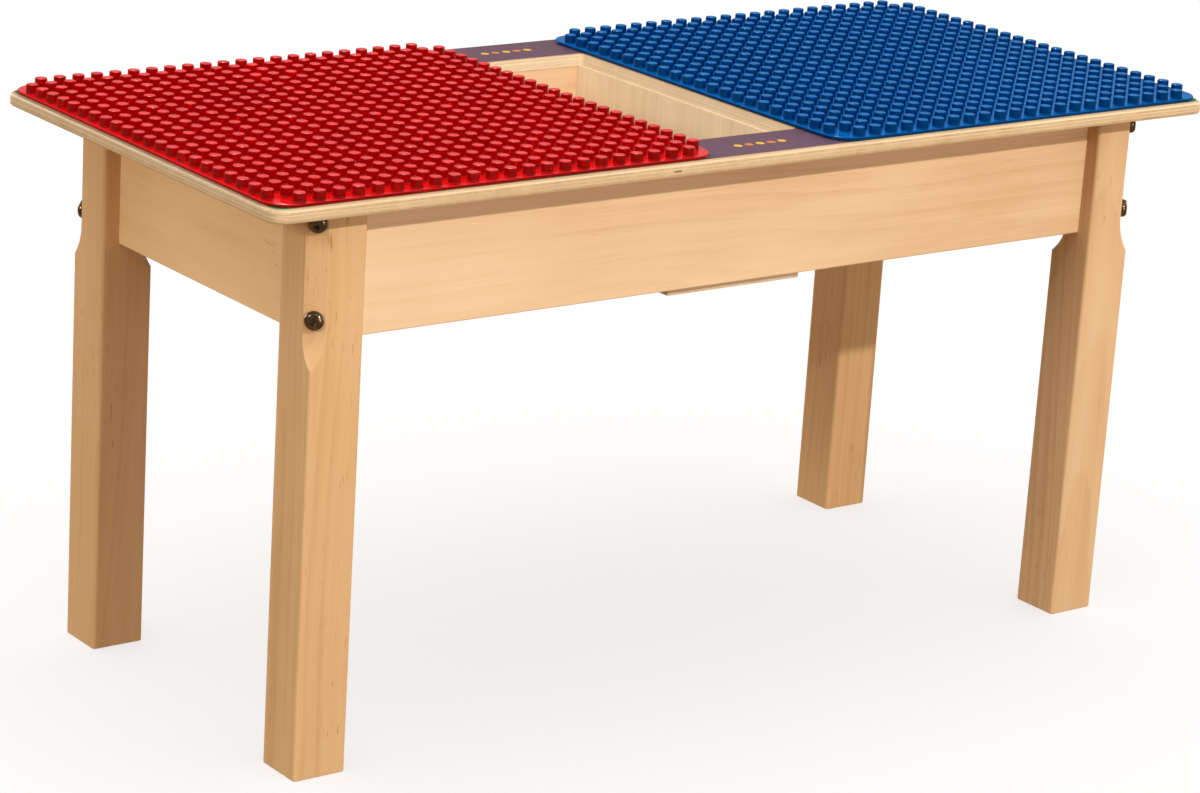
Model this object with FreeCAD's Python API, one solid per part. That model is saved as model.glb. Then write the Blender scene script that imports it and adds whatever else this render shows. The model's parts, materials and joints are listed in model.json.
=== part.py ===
import FreeCAD, Part
import math, os

# Children's building-brick play table: a plywood top with a printed face, two
# studded baseplates laid on it, a storage well between them, four aprons and
# four legs bolted on through their outer corners.
# Frame: millimetres, +Z up, origin on the floor under the middle of the table,
# +X along the length, -Y the front.

V = FreeCAD.Vector
os.makedirs("parts", exist_ok=True)

# ---------------------------------------------------------------- dimensions
TABLE_H = 438.0            # floor to the printed face
TOP_L, TOP_W = 886.0, 390.0
TOP_T = 9.5                # plywood
TOP_CORNER_R = 13.5
TOP_EDGE_R = 2.2           # eased edge
PRINT_T = 0.8              # printed sheet on the plywood
PRINT_L, PRINT_W, PRINT_R = 880.0, 383.0, 10.5   # just short of the eased edge

WELL_X, WELL_Y = 57.4, 140.0      # half sizes of the cut-out in the top
WELL_R = 4.0
WELL_WALL_X = 54.6                # inner face of the well's side walls
WELL_PLY = 9.0                    # side walls
WELL_BOTTOM_T = 6.2
WELL_BOTTOM_Y = 148.0

LEG = 44.0
LEG_X, LEG_Y = 394.5, 170.0       # outer faces of the legs
LEG_EDGE_R = 3.0
LEG_CHAMFER = 11.5                # outer corner, carries the bolts
LEG_CHAMFER_Z = 336.0             # full chamfer down to here, then a cove
LEG_COVE_R = 48.0
LEG_RELIEF = 13.4                 # inner corner, sits on the corner block
LEG_RELIEF_Z = 322.0
LEG_RELIEF_R = 20.0

APRON_Z0 = 327.5
APRON_SETBACK = 14.4              # behind the legs' outer faces
APRON_T = 14.5
APRON_EDGE_R = 1.2

BLOCK_T = 27.0
BLOCK_Z0 = 333.0                  # up to the underside of the top

BOLT_D = 8.0
BOLT_Z = (346.5, 417.0)
BOLT_LEN = 82.0
BOLT_HEAD_D, BOLT_HEAD_H = 14.4, 4.4
HEX_AF, HEX_DEPTH = 5.0, 2.6
BOLT_CLEAR = 0.15                 # radial clearance round the shank
NUT_AF, NUT_H = 13.0, 6.5
WASHER_OD, WASHER_T = 17.0, 1.6

SCREW_D, SCREW_HEAD_D, SCREW_HEAD_H = 4.0, 8.0, 2.8
SCREW_CLEAR = 0.12
CLEAT = 18.0

STUD_PITCH, STUD_N = 16.0, 24
PLATE = STUD_PITCH * STUD_N       # square baseplate
PLATE_X = 249.5                   # centre of each baseplate
PLATE_R = 21.0
PLATE_T = 2.4
PLATE_GAP = 0.4                   # the sheet's crown keeps it off the print
STUD_R, STUD_H = 4.7, 6.4
STUD_HOLLOW_R, STUD_HOLLOW_H = 3.2, 5.0   # pocket under each stud, from the sheet's underside

# ---------------------------------------------------------------- derived
Z_PLY1 = TABLE_H - PRINT_T
Z_PLY0 = Z_PLY1 - TOP_T
BLOCK_Z1 = Z_PLY0
APRON_YO, APRON_XO = LEG_Y - APRON_SETBACK, LEG_X - APRON_SETBACK
APRON_YI, APRON_XI = APRON_YO - APRON_T, APRON_XO - APRON_T
LEG_CX, LEG_CY = LEG_X - LEG / 2, LEG_Y - LEG / 2
S2 = math.sqrt(2.0)
U_CORNER = LEG / S2                       # leg axis to its square corner
U_BOLT = U_CORNER - LEG_CHAMFER / S2      # leg axis to the chamfer flat
U_IN = U_CORNER - LEG_RELIEF / S2         # leg axis to the relief flat
CORNERS = (("front_left", -1, -1), ("front_right", 1, -1),
           ("back_left", -1, 1), ("back_right", 1, 1))


def box(x0, x1, y0, y1, z0, z1):
    return Part.makeBox(x1 - x0, y1 - y0, z1 - z0, V(x0, y0, z0))


def cyl(p, d, r, length):
    return Part.makeCylinder(r, length, V(*p), V(*d))


def rounded(hx, hy, r, z, h, cx=0.0, cy=0.0):
    """Upright prism of a rectangle with round corners."""
    s = box(cx - hx, cx + hx, cy - hy, cy + hy, z, z + h)
    edges = [e for e in s.Edges if abs(e.tangentAt(e.FirstParameter).z) > 0.9]
    return s.makeFillet(r, edges)


def ease(s, r, test):
    """Round the edges that the test picks."""
    edges = [e for e in s.Edges if test(e)]
    return s.makeFillet(r, edges) if edges else s


def solid(shape):
    """The one solid of a shape."""
    if shape.ShapeType == "Solid":
        return shape
    assert len(shape.Solids) == 1, len(shape.Solids)
    return shape.Solids[0]


NODES = {}


def put(name, shape):
    NODES[name] = shape


# ---------------------------------------------------------------- fasteners
def screw_at(head, d, length):
    """Flat-headed wood screw: head is the seat's centre, d points to the tip."""
    d = V(*d)
    h = V(*head)
    n = -d
    body = Part.makeCylinder(SCREW_D / 2, length - 3.0, h, d)
    tip = Part.makeCone(SCREW_D / 2, 0.5, 3.0, h + d * (length - 3.0), d)
    top = Part.makeCylinder(SCREW_HEAD_D / 2, SCREW_HEAD_H, h, n)
    slot_x = V(0, 0, 1).cross(d)
    if slot_x.Length < 0.5:
        slot_x = V(1, 0, 0)
    slot_x.normalize()
    slot_y = d.cross(slot_x)
    s = body.fuse([tip, top])
    for a, b in ((slot_x, slot_y), (slot_y, slot_x)):
        # one arm of the cross recess
        p = h + n * (SCREW_HEAD_H - 1.4) - a * 2.2 - b * 0.5
        bar = Part.Face(Part.makePolygon([p, p + a * 4.4, p + a * 4.4 + b, p + b, p])).extrude(n * 3.0)
        s = s.cut(bar)
    return solid(s.removeSplitter())


def screw_hole(head, d, length):
    """Room for that screw: shank hole and a round pocket over the head."""
    d = V(*d)
    h = V(*head)
    shank = Part.makeCylinder(SCREW_D / 2 + SCREW_CLEAR, length + 0.6, h - d * 0.01, d)
    pocket = Part.makeCylinder(SCREW_HEAD_D / 2 + 0.4, 40.0, h, -d)
    return shank.fuse(pocket)


def shank_hole(head, d, length):
    d = V(*d)
    return Part.makeCylinder(SCREW_D / 2 + SCREW_CLEAR, length + 0.6, V(*head) - d * 0.01, d)


def bolt_at(seat, out):
    """Domed bolt with a hexagon socket: seat on the leg's chamfer, out is outward."""
    seat, out = V(*seat), V(*out)
    r, h = BOLT_HEAD_D / 2, BOLT_HEAD_H
    # head profile in the (radius, height) half plane
    a = V(0, 0, 0)
    b = V(r, 0, 0)
    c = V(r, 0, 0.9)
    m = V(r * 0.80, 0, 0.9 + (h - 0.9) * 0.70)
    t = V(r * 0.46, 0, h)
    e = V(0, 0, h)
    w = Part.Wire([Part.LineSegment(a, b).toShape(), Part.LineSegment(b, c).toShape(),
                   Part.Arc(c, m, t).toShape(), Part.LineSegment(t, e).toShape(),
                   Part.LineSegment(e, a).toShape()])
    head = Part.Face(w).revolve(V(0, 0, 0), V(0, 0, 1), 360)
    hexa = [V(HEX_AF / math.sqrt(3) * math.cos(k * math.pi / 3),
              HEX_AF / math.sqrt(3) * math.sin(k * math.pi / 3), h - HEX_DEPTH) for k in range(7)]
    head = head.cut(Part.Face(Part.makePolygon(hexa)).extrude(V(0, 0, 10)))
    shank = Part.makeCylinder(BOLT_D / 2, BOLT_LEN - 1.0, V(0, 0, 0), V(0, 0, -1))
    end = Part.makeCone(BOLT_D / 2, BOLT_D / 2 - 0.9, 1.0, V(0, 0, -(BOLT_LEN - 1.0)), V(0, 0, -1))
    s = solid(head.fuse([shank, end]).removeSplitter())
    s.Placement = FreeCAD.Placement(seat, FreeCAD.Rotation(V(0, 0, 1), out))
    return s


def hexagon_prism(af, h):
    pts = [V(af / math.sqrt(3) * math.cos(k * math.pi / 3 + math.pi / 6),
             af / math.sqrt(3) * math.sin(k * math.pi / 3 + math.pi / 6), 0) for k in range(7)]
    return Part.Face(Part.makePolygon(pts)).extrude(V(0, 0, h))


def nut_at(p, d):
    s = hexagon_prism(NUT_AF, NUT_H)
    dome = Part.makeCone(NUT_AF / 2 + 3.6, NUT_AF / 2 - 0.2, NUT_H, V(0, 0, 0))
    s = s.common(dome)
    s = solid(s.cut(Part.makeCylinder(BOLT_D / 2 + 0.08, 20, V(0, 0, -5))))
    s.Placement = FreeCAD.Placement(V(*p), FreeCAD.Rotation(V(0, 0, 1), V(*d)))
    return s


def washer_at(p, d):
    s = Part.makeCylinder(WASHER_OD / 2, WASHER_T).cut(Part.makeCylinder(BOLT_D / 2 + 0.25, 5, V(0, 0, -1)))
    s = solid(s)
    s.Placement = FreeCAD.Placement(V(*p), FreeCAD.Rotation(V(0, 0, 1), V(*d)))
    return s


# ---------------------------------------------------------------- screw layout
cleats = {}      # name: (x0, x1, y0, y1)
for side, sy in (("front", -1), ("back", 1)):
    for half, sx in (("left", -1), ("right", 1)):
        xa, xb = sorted((sx * 86.0, sx * 306.0))
        ya, yb = sorted((sy * APRON_YI, sy * (APRON_YI - CLEAT)))
        cleats["top_cleat_%s_%s" % (side, half)] = (xa, xb, ya, yb)
for side, sx in (("left", -1), ("right", 1)):
    xa, xb = sorted((sx * APRON_XI, sx * (APRON_XI - CLEAT)))
    cleats["top_cleat_%s" % side] = (xa, xb, -78.0, 78.0)

TOP_SCREW_LEN = 18.0
CLEAT_SCREW_LEN = 24.0
top_screws, cleat_screws = [], []          # (cleat, seat, direction, length)
for name, (xa, xb, ya, yb) in cleats.items():
    xm, ym = (xa + xb) / 2, (ya + yb) / 2
    if xb - xa > yb - ya:
        sy = 1 if ym > 0 else -1
        for t in (-82.0, 82.0):
            top_screws.append((name, (xm + t, ym, Z_PLY0 - 12.0), (0, 0, 1), TOP_SCREW_LEN))
        for t in (-45.0, 45.0):
            cleat_screws.append((name, (xm + t, sy * (APRON_YI - 13.0), Z_PLY0 - CLEAT / 2), (0, sy, 0), CLEAT_SCREW_LEN))
    else:
        sx = 1 if xm > 0 else -1
        for t in (-57.0, 57.0):
            top_screws.append((name, (xm, t, Z_PLY0 - 12.0), (0, 0, 1), TOP_SCREW_LEN))
        for t in (-25.0, 25.0):
            cleat_screws.append((name, (sx * (APRON_XI - 13.0), t, Z_PLY0 - CLEAT / 2), (sx, 0, 0), CLEAT_SCREW_LEN))

BLOCK_SCREW_LEN = 20.0
block_screws = []                          # (corner, apron, seat, direction)
for name, sx, sy in CORNERS:
    for z in (359.0, 396.0):
        # into the long apron, then into the short one
        x = sx * (LEG_CX + LEG_CY + (-U_IN * S2) - BLOCK_T * S2 - APRON_YI + 17.0)
        block_screws.append((name, "front_apron" if sy < 0 else "back_apron",
                             (x, sy * (APRON_YI - 9.0), z), (0, sy, 0)))
        y = sy * (LEG_CX + LEG_CY + (-U_IN * S2) - BLOCK_T * S2 - APRON_XI + 17.0)
        block_screws.append((name, "left_apron" if sx < 0 else "right_apron",
                             (sx * (APRON_XI - 9.0), y, z), (sx, 0, 0)))

STRIP = 12.0
STRIP_SCREW_LEN = 17.0
strip_screws = []                          # (apron, seat, direction)
for sx in (-1, 1):
    for sy in (-1, 1):
        for z in (351.0, 401.0):
            strip_screws.append(("front_apron" if sy < 0 else "back_apron",
                                 (sx * (WELL_WALL_X + WELL_PLY + STRIP / 2), sy * (APRON_YI - 7.0), z), (0, sy, 0)))

# ---------------------------------------------------------------- top
top = rounded(TOP_L / 2, TOP_W / 2, TOP_CORNER_R, Z_PLY0, TOP_T)
top = ease(top, TOP_EDGE_R, lambda e: abs(e.BoundBox.ZMax - e.BoundBox.ZMin) < 1e-6)
top = top.cut(rounded(WELL_X, WELL_Y, WELL_R, Z_PLY0 - 1, TOP_T + 2))
for name, seat, d, length in top_screws:
    top = top.cut(shank_hole(seat, d, length))
put("tabletop", solid(top))

sheet = rounded(PRINT_L / 2, PRINT_W / 2, PRINT_R, Z_PLY1, PRINT_T)
sheet = sheet.cut(rounded(WELL_X, WELL_Y, WELL_R, Z_PLY1 - 1, PRINT_T + 2))
put("printed_sheet", solid(sheet))

# ---------------------------------------------------------------- aprons
def apron(x0, x1, y0, y1, long_x):
    s = box(x0, x1, y0, y1, APRON_Z0, Z_PLY0)
    return ease(s, APRON_EDGE_R, lambda e: abs(e.BoundBox.ZMax - APRON_Z0) < 1e-6 and
                (e.BoundBox.XLength if long_x else e.BoundBox.YLength) > 50)


APRON_HX, APRON_HY = LEG_X - LEG, LEG_Y - LEG
aprons = {
    "front_apron": apron(-APRON_HX, APRON_HX, -APRON_YO, -APRON_YI, True),
    "back_apron": apron(-APRON_HX, APRON_HX, APRON_YI, APRON_YO, True),
    "left_apron": apron(-APRON_XO, -APRON_XI, -APRON_HY, APRON_HY, False),
    "right_apron": apron(APRON_XI, APRON_XO, -APRON_HY, APRON_HY, False),
}
for corner, ap, seat, d in block_screws:
    aprons[ap] = aprons[ap].cut(shank_hole(seat, d, BLOCK_SCREW_LEN))
for cl, seat, d, length in cleat_screws:
    ap = ("front_apron" if d[1] < 0 else "back_apron") if d[1] else ("left_apron" if d[0] < 0 else "right_apron")
    aprons[ap] = aprons[ap].cut(shank_hole(seat, d, length))
for ap, seat, d in strip_screws:
    aprons[ap] = aprons[ap].cut(shank_hole(seat, d, STRIP_SCREW_LEN))
for name, s in aprons.items():
    put(name, solid(s))

# ---------------------------------------------------------------- legs, blocks, bolts
def corner_cutter(cx, cy, dx, dy, u0, z_full, r, z_top):
    """Flat at distance u0 from the leg's axis along (dx, dy), ending in a cove of radius r."""
    d = V(dx / S2, dy / S2, 0)
    side = V(-d.y, d.x, 0)
    c = V(cx, cy, 0)
    depth = U_CORNER - u0 + 3.0
    th = math.acos(1 - depth / r)
    def at(u, z):
        return c + d * u + V(0, 0, z) - side * 40.0
    p0, p1 = at(u0, z_top), at(u0, z_full)
    pm = at(u0 + r - r * math.cos(th / 2), z_full - r * math.sin(th / 2))
    p2 = at(u0 + r - r * math.cos(th), z_full - r * math.sin(th))
    p3 = at(u0 + depth, z_top)
    w = Part.Wire([Part.LineSegment(p0, p1).toShape(), Part.Arc(p1, pm, p2).toShape(),
                   Part.LineSegment(p2, p3).toShape(), Part.LineSegment(p3, p0).toShape()])
    return Part.Face(w).extrude(side * 80.0)


bolts, washers, nuts = [], [], []
for name, sx, sy in CORNERS:
    cx, cy = sx * LEG_CX, sy * LEG_CY
    out = V(sx / S2, sy / S2, 0)
    leg = rounded(LEG / 2, LEG / 2, LEG_EDGE_R, 0, Z_PLY0, cx, cy)
    foot = [e for e in leg.Edges if e.BoundBox.ZMax < 1e-6]
    leg = leg.makeFillet(1.0, foot)
    leg = leg.cut(corner_cutter(cx, cy, sx, sy, U_BOLT, LEG_CHAMFER_Z, LEG_COVE_R, Z_PLY0 + 5))
    leg = leg.cut(corner_cutter(cx, cy, -sx, -sy, U_IN, LEG_RELIEF_Z, LEG_RELIEF_R, Z_PLY0 + 5))
    # diagonal block behind the leg, between the two aprons
    k_in = -(LEG_CX + LEG_CY) + U_IN * S2           # x + y on the leg side, as for the front-left corner
    k_out = k_in + BLOCK_T * S2
    pts = [(k_in + APRON_YI, -APRON_YI), (k_out + APRON_YI, -APRON_YI),
           (-APRON_XI, k_out + APRON_XI), (-APRON_XI, k_in + APRON_XI)]
    pts = [V(-sx * x, -sy * y, BLOCK_Z0) for x, y in pts]
    block = Part.Face(Part.makePolygon(pts + pts[:1])).extrude(V(0, 0, BLOCK_Z1 - BLOCK_Z0))
    for z in BOLT_Z:
        seat = V(cx, cy, z) + out * U_BOLT
        far = V(cx, cy, z) - out * (U_IN + BLOCK_T)
        bore = Part.makeCylinder(BOLT_D / 2 + BOLT_CLEAR, 120.0, seat + out * 10, -out)
        leg = leg.cut(bore)
        block = block.cut(bore)
        bolts.append(bolt_at(seat, out))
        washers.append(washer_at(far, -out))
        nuts.append(nut_at(far - out * WASHER_T, -out))
    for corner, ap, seat, d in block_screws:
        if corner == name:
            block = block.cut(screw_hole(seat, d, BLOCK_SCREW_LEN))
    put("leg_" + name, solid(leg))
    put("corner_block_" + name, solid(block))
put("leg_bolts", Part.makeCompound(bolts))
put("leg_bolt_washers", Part.makeCompound(washers))
put("leg_bolt_nuts", Part.makeCompound(nuts))
put("corner_block_screws", Part.makeCompound([screw_at(seat, d, BLOCK_SCREW_LEN) for c, a, seat, d in block_screws]))

# ---------------------------------------------------------------- cleats
for name, (xa, xb, ya, yb) in cleats.items():
    s = box(xa, xb, ya, yb, Z_PLY0 - CLEAT, Z_PLY0)
    for cl, seat, d, length in top_screws + cleat_screws:
        if cl == name:
            s = s.cut(screw_hole(seat, d, length))
    put(name, solid(s))
put("top_screws", Part.makeCompound([screw_at(seat, d, length) for c, seat, d, length in top_screws]))
put("cleat_screws", Part.makeCompound([screw_at(seat, d, length) for c, seat, d, length in cleat_screws]))

# ---------------------------------------------------------------- storage well
NAIL_R, NAIL_LEN, NAIL_HEAD_R, NAIL_HEAD_H = 0.9, 26.0, 2.3, 1.0
nail_xy = [(sx * (WELL_WALL_X + WELL_PLY / 2), y) for sx in (-1, 1) for y in (-106.0, 0.0, 106.0)]
Z_FLOOR0 = APRON_Z0 - WELL_BOTTOM_T


def nail(x, y):
    s = cyl((x, y, Z_FLOOR0), (0, 0, 1), NAIL_R, NAIL_LEN - 2)
    s = s.fuse(Part.makeCone(NAIL_R, 0.2, 2.0, V(x, y, Z_FLOOR0 + NAIL_LEN - 2)))
    s = s.fuse(cyl((x, y, Z_FLOOR0), (0, 0, 1), NAIL_HEAD_R, NAIL_HEAD_H))
    return solid(s.removeSplitter())


def nail_hole(x, y):
    return cyl((x, y, Z_FLOOR0 - 1), (0, 0, 1), NAIL_R + 0.1, NAIL_LEN + 1.5).fuse(
        cyl((x, y, Z_FLOOR0 - 1), (0, 0, 1), NAIL_HEAD_R + 0.1, NAIL_HEAD_H + 1.1))


for side, sx in (("left", -1), ("right", 1)):
    xa, xb = sorted((sx * WELL_WALL_X, sx * (WELL_WALL_X + WELL_PLY)))
    s = box(xa, xb, -APRON_YI, APRON_YI, APRON_Z0, Z_PLY0)
    for x, y in nail_xy:
        if x * sx > 0:
            s = s.cut(nail_hole(x, y))
    put("well_%s_wall" % side, solid(s))

wf = rounded(WELL_WALL_X + WELL_PLY, WELL_BOTTOM_Y, 1.5, Z_FLOOR0, WELL_BOTTOM_T)
for x, y in nail_xy:
    wf = wf.cut(nail_hole(x, y))
put("well_bottom", solid(wf))
put("well_bottom_nails", Part.makeCompound([nail(x, y) for x, y in nail_xy]))

strips = []
for sx in (-1, 1):
    for sy in (-1, 1):
        xa, xb = sorted((sx * (WELL_WALL_X + WELL_PLY), sx * (WELL_WALL_X + WELL_PLY + STRIP)))
        ya, yb = sorted((sy * APRON_YI, sy * (APRON_YI - STRIP)))
        s = box(xa, xb, ya, yb, APRON_Z0 + 4.0, Z_PLY0 - 4.0)
        for ap, seat, d in strip_screws:
            if seat[0] * sx > 0 and d[1] == sy:
                s = s.cut(screw_hole(seat, d, STRIP_SCREW_LEN))
        strips.append(solid(s))
put("well_corner_strips", Part.makeCompound(strips))
put("well_strip_screws", Part.makeCompound([screw_at(seat, d, STRIP_SCREW_LEN) for ap, seat, d in strip_screws]))

# ---------------------------------------------------------------- baseplates
def holed(face, edges):
    """The flat face with a round hole at each of these circle edges."""
    holes = [Part.Wire([e]) for e in edges]
    for w in holes:
        w.reverse()
    return Part.Face([face.OuterWire] + holes)


def baseplate(cx):
    """Thin moulded sheet with round studs, hollow from below; the corner studs are left off."""
    z0 = TABLE_H + PLATE_GAP
    z1 = z0 + PLATE_T
    h = PLATE / 2
    slab = rounded(h, h, PLATE_R, z0, PLATE_T, cx)
    upper = [f for f in slab.Faces if f.BoundBox.ZMin > z1 - 1e-6][0]
    lower = [f for f in slab.Faces if f.BoundBox.ZMax < z0 + 1e-6][0]
    faces = [f for f in slab.Faces if f.BoundBox.ZMax - f.BoundBox.ZMin > 1]
    rims = {z1: [], z0: []}
    for i in range(STUD_N):
        for j in range(STUD_N):
            if i in (0, STUD_N - 1) and j in (0, STUD_N - 1):
                continue
            x, y = cx - h + STUD_PITCH * (i + 0.5), -h + STUD_PITCH * (j + 0.5)
            for zb, s in ((z1, Part.makeCylinder(STUD_R, STUD_H, V(x, y, z1))),
                          (z0, Part.makeCylinder(STUD_HOLLOW_R, STUD_HOLLOW_H, V(x, y, z0)))):
                for f in s.Faces:
                    if f.BoundBox.ZMax - f.BoundBox.ZMin > 1:
                        faces.append(f)
                        rims[zb].append([e for e in f.Edges if e.BoundBox.ZMax < zb + 1e-4][0])
                    elif f.BoundBox.ZMin > zb + 1:
                        faces.append(f)
    faces += [holed(upper, rims[z1]), holed(lower, rims[z0])]
    shell = Part.Compound(faces)
    shell.sewShape()
    assert len(shell.Shells) == 1 and shell.Shells[0].isClosed()
    s = Part.Solid(shell.Shells[0])
    if s.Volume < 0:
        s.reverse()
    return s


left_plate = baseplate(-PLATE_X)
right_plate = left_plate.copy()
right_plate.translate(V(2 * PLATE_X, 0, 0))
put("red_baseplate", left_plate)
put("blue_baseplate", right_plate)

# ---------------------------------------------------------------- write
for name, shape in NODES.items():
    for s in shape.Solids:
        assert s.isValid() and s.Volume > 0, name
    shape.exportStep("parts/%s.step" % name)
    b = shape.BoundBox
    print("%-26s solids %2d  vol %9.0f  x %7.1f %7.1f  y %7.1f %7.1f  z %6.1f %6.1f" % (
        name, len(shape.Solids), shape.Volume, b.XMin, b.XMax, b.YMin, b.YMax, b.ZMin, b.ZMax))
print(len(NODES), "nodes")
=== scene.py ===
import json
import math

import bpy
import numpy as np
from mathutils import Matrix, Vector

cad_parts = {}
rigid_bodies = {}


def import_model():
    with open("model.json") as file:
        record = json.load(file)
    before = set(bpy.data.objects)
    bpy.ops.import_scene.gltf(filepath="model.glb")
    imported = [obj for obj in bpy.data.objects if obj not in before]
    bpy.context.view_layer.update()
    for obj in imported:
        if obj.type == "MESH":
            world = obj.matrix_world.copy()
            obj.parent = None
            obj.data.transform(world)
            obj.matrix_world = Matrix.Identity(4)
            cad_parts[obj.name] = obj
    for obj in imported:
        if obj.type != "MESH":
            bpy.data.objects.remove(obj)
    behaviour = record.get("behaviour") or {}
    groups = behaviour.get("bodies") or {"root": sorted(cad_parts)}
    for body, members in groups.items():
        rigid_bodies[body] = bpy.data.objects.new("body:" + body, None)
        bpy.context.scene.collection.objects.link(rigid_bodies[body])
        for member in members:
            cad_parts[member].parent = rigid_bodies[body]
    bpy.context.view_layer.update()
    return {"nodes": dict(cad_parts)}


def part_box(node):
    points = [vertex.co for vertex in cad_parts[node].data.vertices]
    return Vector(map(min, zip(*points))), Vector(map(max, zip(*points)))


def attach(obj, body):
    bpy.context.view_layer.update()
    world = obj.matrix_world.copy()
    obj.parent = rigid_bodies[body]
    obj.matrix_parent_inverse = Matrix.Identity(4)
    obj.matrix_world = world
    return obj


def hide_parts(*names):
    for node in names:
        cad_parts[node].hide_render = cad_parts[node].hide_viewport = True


# Children's play table: maple frame, birch plywood top with a printed face and
# two studded baseplates, seen from its front left corner, slightly above.

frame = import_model()
NODES = frame["nodes"]
scene = bpy.context.scene
MM = 0.001


# ------------------------------------------------------------------ node helper
class Graph:
    """One material: a Principled shader and short calls for its texture nodes."""

    def __init__(self, name):
        self.mat = bpy.data.materials.new(name)
        self.mat.use_nodes = True
        self.tree = self.mat.node_tree
        self.tree.nodes.clear()
        out = self.new("ShaderNodeOutputMaterial")
        self.bsdf = self.new("ShaderNodeBsdfPrincipled")
        self.tree.links.new(self.bsdf.outputs["BSDF"], out.inputs["Surface"])
        tc = self.new("ShaderNodeTexCoord")
        self.obj = tc.outputs["Object"]
        self.nrm = tc.outputs["Normal"]

    def new(self, kind):
        return self.tree.nodes.new(kind)

    def put(self, socket, value):
        if isinstance(value, bpy.types.NodeSocket):
            self.tree.links.new(value, socket)
        elif isinstance(value, (tuple, list)) and len(value) == 3 and len(socket.default_value) == 4:
            socket.default_value = (*value, 1.0)
        else:
            socket.default_value = value

    def math(self, op, a, b=None, c=None, clamp=False):
        n = self.new("ShaderNodeMath")
        n.operation = op
        n.use_clamp = clamp
        for i, v in enumerate((a, b, c)):
            if v is not None:
                self.put(n.inputs[i], v)
        return n.outputs[0]

    def add(self, a, b):
        return self.math("ADD", a, b)

    def sub(self, a, b):
        return self.math("SUBTRACT", a, b)

    def mul(self, a, b):
        return self.math("MULTIPLY", a, b)

    def mad(self, a, b, c):
        return self.math("MULTIPLY_ADD", a, b, c)

    def swing(self, a, amount):
        """A 0..1 value turned into a swing about nought."""
        return self.mad(a, amount, -0.5 * amount)

    def total(self, *terms):
        s = terms[0]
        for t in terms[1:]:
            s = self.add(s, t)
        return s

    def xyz(self, vec):
        n = self.new("ShaderNodeSeparateXYZ")
        self.put(n.inputs[0], vec)
        return n.outputs[0], n.outputs[1], n.outputs[2]

    def vec(self, x, y, z):
        n = self.new("ShaderNodeCombineXYZ")
        for i, v in enumerate((x, y, z)):
            self.put(n.inputs[i], v)
        return n.outputs[0]

    def mapped(self, scale, loc=(0.0, 0.0, 0.0), vec=None, rot=(0.0, 0.0, 0.0)):
        n = self.new("ShaderNodeMapping")
        self.put(n.inputs["Vector"], self.obj if vec is None else vec)
        n.inputs["Scale"].default_value = scale
        n.inputs["Location"].default_value = loc
        n.inputs["Rotation"].default_value = rot
        return n.outputs[0]

    def noise(self, vec, scale=1.0, detail=2.0, rough=0.5, warp=0.0):
        n = self.new("ShaderNodeTexNoise")
        self.put(n.inputs["Vector"], vec)
        n.inputs["Scale"].default_value = scale
        n.inputs["Detail"].default_value = detail
        n.inputs["Roughness"].default_value = rough
        n.inputs["Distortion"].default_value = warp
        return n.outputs[0]

    def cells(self, vec, scale=1.0, feature="F1"):
        n = self.new("ShaderNodeTexVoronoi")
        n.feature = feature
        self.put(n.inputs["Vector"], vec)
        n.inputs["Scale"].default_value = scale
        return n.outputs["Distance"]

    def white(self, w):
        n = self.new("ShaderNodeTexWhiteNoise")
        n.noise_dimensions = "1D"
        self.put(n.inputs["W"], w)
        return n.outputs["Value"]

    def span(self, v, a, b, c=0.0, d=1.0, smooth=True):
        """v from a..b to c..d, held at the ends."""
        n = self.new("ShaderNodeMapRange")
        n.interpolation_type = "SMOOTHSTEP" if smooth else "LINEAR"
        n.clamp = True
        self.put(n.inputs["Value"], v)
        for k, x in zip(("From Min", "From Max", "To Min", "To Max"), (a, b, c, d)):
            n.inputs[k].default_value = x
        return n.outputs[0]

    def ramp(self, fac, stops, mode="LINEAR"):
        n = self.new("ShaderNodeValToRGB")
        self.put(n.inputs[0], fac)
        cr = n.color_ramp
        cr.interpolation = mode
        while len(cr.elements) > 1:
            cr.elements.remove(cr.elements[-1])
        cr.elements[0].position = stops[0][0]
        cr.elements[0].color = (*stops[0][1], 1.0)
        for p, c in stops[1:]:
            e = cr.elements.new(p)
            e.color = (*c, 1.0)
        return n.outputs[0]

    def mix(self, fac, a, b, mode="MIX"):
        n = self.new("ShaderNodeMix")
        n.data_type = "RGBA"
        n.blend_type = mode
        n.clamp_factor = True
        self.put(n.inputs[0], fac)
        self.put(n.inputs[6], a)
        self.put(n.inputs[7], b)
        return n.outputs[2]

    def blend(self, fac, a, b):
        n = self.new("ShaderNodeMix")
        n.data_type = "FLOAT"
        self.put(n.inputs[0], fac)
        self.put(n.inputs[2], a)
        self.put(n.inputs[3], b)
        return n.outputs[0]

    def bump(self, height, strength, distance, under=None):
        n = self.new("ShaderNodeBump")
        n.inputs["Strength"].default_value = strength
        n.inputs["Distance"].default_value = distance
        self.put(n.inputs["Height"], height)
        if under is not None:
            self.put(n.inputs["Normal"], under)
        return n.outputs[0]

    def finish(self, **sockets):
        """Sets or links sockets of the shader by the short names listed in names: colour=..., roughness=... and the
        others there.
        """
        names = {"colour": "Base Color", "roughness": "Roughness", "normal": "Normal",
                 "metallic": "Metallic", "ior": "IOR", "coat": "Coat Weight",
                 "coat_roughness": "Coat Roughness", "spec": "Specular IOR Level",
                 "tint": "Specular Tint", "sss": "Subsurface Weight", "sss_radius": "Subsurface Radius", "sss_scale": "Subsurface Scale"}
        for k, v in sockets.items():
            self.put(self.bsdf.inputs[names[k]], v)
        return self.mat


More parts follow.
